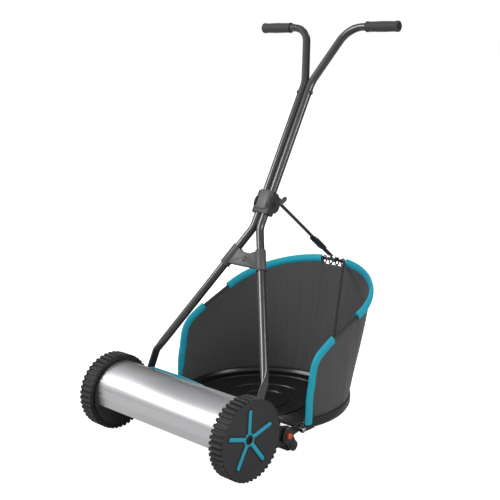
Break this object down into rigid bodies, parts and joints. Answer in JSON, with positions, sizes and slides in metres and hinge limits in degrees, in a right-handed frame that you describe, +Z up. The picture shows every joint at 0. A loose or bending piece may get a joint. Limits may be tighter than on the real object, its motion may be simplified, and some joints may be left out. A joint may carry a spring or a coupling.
{
  "type": "reel mower",
  "caption": "Hand-pushed reel mower with geared wheels, a helical cutting reel, a folding T-bar handle and a round fabric grass catcher hung from a strap.",
  "frame": {"origin": "middle of the mower's box, on the ground", "axes": "+Z up, +Y to the rear, towards the catcher, the mower rolls forward towards -Y; names ending _right are at +X, on the right for someone who faces its front"},
  "size_m": [0.5456, 0.7666, 1.1039],
  "materials": {
    "side_plate": "moulded black plastic, fine grain",
    "hood_sheet": "brushed sheet, satin",
    "turquoise_paint": "semi gloss paint",
    "steel": "plain turned steel",
    "blade_steel": "hardened steel, oiled",
    "black_paint": "satin black powder coat",
    "bearing_bronze": "sintered bronze",
    "wheel_plastic": "moulded black plastic",
    "tyre_rubber": "matt moulded tread",
    "cover_plastic": "charcoal plastic, fine grain",
    "star_plastic": "satin gloss",
    "cap_plastic": "black plastic",
    "bush_plastic": "self lubricating plastic",
    "gear_plastic": "moulded gear plastic",
    "tube_paint": "glossy dark grey metallic powder coat",
    "joint_grey": "moulded mid grey plastic",
    "joint_dark": "moulded dark grey plastic",
    "grip_rubber": "soft matt grip",
    "button_plastic": "orange red",
    "roller_plastic": "black plastic",
    "tray_plastic": "black, slightly glossy",
    "bag_fabric": "woven charcoal polyester",
    "hem_fabric": "woven turquoise binding",
    "webbing": "black woven webbing",
    "buckle_plastic": "black plastic"
  },
  "bodies": {
    "chassis": {"side_plate_left": "side_plate", "side_plate_right": "side_plate", "hood": "hood_sheet", "rear_cross_member": "turquoise_paint", "front_tie_rod": "steel", "bed_knife_carrier": "black_paint", "bed_knife": "blade_steel", "bed_knife_screws": "steel", "wheel_stub_left": "steel", "wheel_stub_right": "steel", "wheel_retainers": "steel", "reel_bearings": "bearing_bronze", "chassis_screws": "steel", "catcher_pins": "steel", "handle_pivot_bolts": "steel"},
    "wheel_left": {"wheel_left": "wheel_plastic", "tyre_left": "tyre_rubber", "wheel_cover_left": "cover_plastic", "wheel_star_left": "star_plastic", "hub_cap_left": "cap_plastic", "wheel_bush_left": "bush_plastic"},
    "wheel_right": {"wheel_right": "wheel_plastic", "tyre_right": "tyre_rubber", "wheel_cover_right": "cover_plastic", "wheel_star_right": "star_plastic", "hub_cap_right": "cap_plastic", "wheel_bush_right": "bush_plastic"},
    "pinion_left": {"pinion_left": "gear_plastic"},
    "pinion_right": {"pinion_right": "gear_plastic"},
    "reel": {"reel_shaft": "steel", "reel_spiders": "black_paint", "reel_blades": "blade_steel", "reel_pawls": "steel"},
    "roller_carrier": {"roller_bracket_left": "side_plate", "roller_bracket_right": "side_plate", "roller_axle": "steel"},
    "rear_roller": {"rear_roller": "roller_plastic"},
    "height_button_left": {"height_button_left": "button_plastic"},
    "height_button_right": {"height_button_right": "button_plastic"},
    "handle_lower": {"lower_tube_left": "tube_paint", "lower_tube_right": "tube_paint", "y_bracket": "joint_grey", "y_bracket_screw": "steel", "hinge_block_lower": "joint_dark", "hinge_bolt": "black_paint"},
    "handle_upper": {"upper_tube_left": "tube_paint", "upper_tube_right": "tube_paint", "hinge_block_upper": "joint_grey", "handle_cross_bolt": "black_paint", "grip_left": "grip_rubber", "grip_right": "grip_rubber"},
    "catcher": {"catcher_tray": "tray_plastic", "catcher_rim": "black_paint", "catcher_bag": "bag_fabric", "catcher_hem": "hem_fabric", "catcher_side_cord": "webbing"},
    "strap": {"strap_hook_upper": "buckle_plastic", "catcher_strap": "webbing", "strap_buckle": "buckle_plastic", "strap_hook_lower": "steel"}
  },
  "joints": [
    {"name": "wheel_left_spin", "type": "hinge", "parent": "chassis", "child": "wheel_left", "pos_m": [0, -0.27725, 0.105], "axis": [1, 0, 0], "continuous": true},
    {"name": "wheel_right_spin", "type": "hinge", "parent": "chassis", "child": "wheel_right", "pos_m": [0, -0.27725, 0.105], "axis": [1, 0, 0], "continuous": true},
    {"name": "pinion_left_spin", "type": "hinge", "parent": "chassis", "child": "pinion_left", "pos_m": [0, -0.23925, 0.09251], "axis": [1, 0, 0], "continuous": true},
    {"name": "pinion_right_spin", "type": "hinge", "parent": "chassis", "child": "pinion_right", "pos_m": [0, -0.23925, 0.09251], "axis": [1, 0, 0], "continuous": true},
    {"name": "reel_spin", "type": "hinge", "parent": "chassis", "child": "reel", "pos_m": [0, -0.23925, 0.09251], "axis": [1, 0, 0], "continuous": true},
    {"name": "height_adjust", "type": "slide", "parent": "chassis", "child": "roller_carrier", "axis": [0, 0, 1], "range_m": [-0.012, 0.012]},
    {"name": "roller_spin", "type": "hinge", "parent": "roller_carrier", "child": "rear_roller", "pos_m": [0, -0.07725, 0.019], "axis": [1, 0, 0], "continuous": true},
    {"name": "height_button_left_press", "type": "slide", "parent": "roller_carrier", "child": "height_button_left", "axis": [1, 0, 0], "range_m": [0, 0.004], "stiffness_N_per_m": 600, "springref_m": -0.003},
    {"name": "height_button_right_press", "type": "slide", "parent": "roller_carrier", "child": "height_button_right", "axis": [-1, 0, 0], "range_m": [0, 0.004], "stiffness_N_per_m": 600, "springref_m": -0.003},
    {"name": "handle_swing", "type": "hinge", "parent": "chassis", "child": "handle_lower", "pos_m": [0, -0.19716, 0.12616], "axis": [1, 0, 0], "range_deg": [-7, 12]},
    {"name": "handle_fold", "type": "hinge", "parent": "handle_lower", "child": "handle_upper", "pos_m": [0, 0.06848, 0.61346], "axis": [-1, 0, 0], "range_deg": [0, 45]},
    {"name": "catcher_tilt", "type": "hinge", "parent": "chassis", "child": "catcher", "pos_m": [0, -0.04925, 0.057], "axis": [1, 0, 0], "range_deg": [-7.6, 13]},
    {"name": "strap_swing", "type": "hinge", "parent": "catcher", "child": "strap", "pos_m": [0, 0.37575, 0.40643], "axis": [1, 0, 0], "range_deg": [-6.6, 4]}
  ],
  "couplings": [
    {"joint": "pinion_left_spin", "follows": "wheel_left_spin", "ratio": 4.3333},
    {"joint": "pinion_right_spin", "follows": "wheel_right_spin", "ratio": 4.3333},
    {"joint": "reel_spin", "follows": "wheel_right_spin", "ratio": 4.3333},
    {"joint": "catcher_tilt", "follows": "handle_swing", "ratio": 1.068},
    {"joint": "strap_swing", "follows": "handle_swing", "ratio": -0.529}
  ]
}
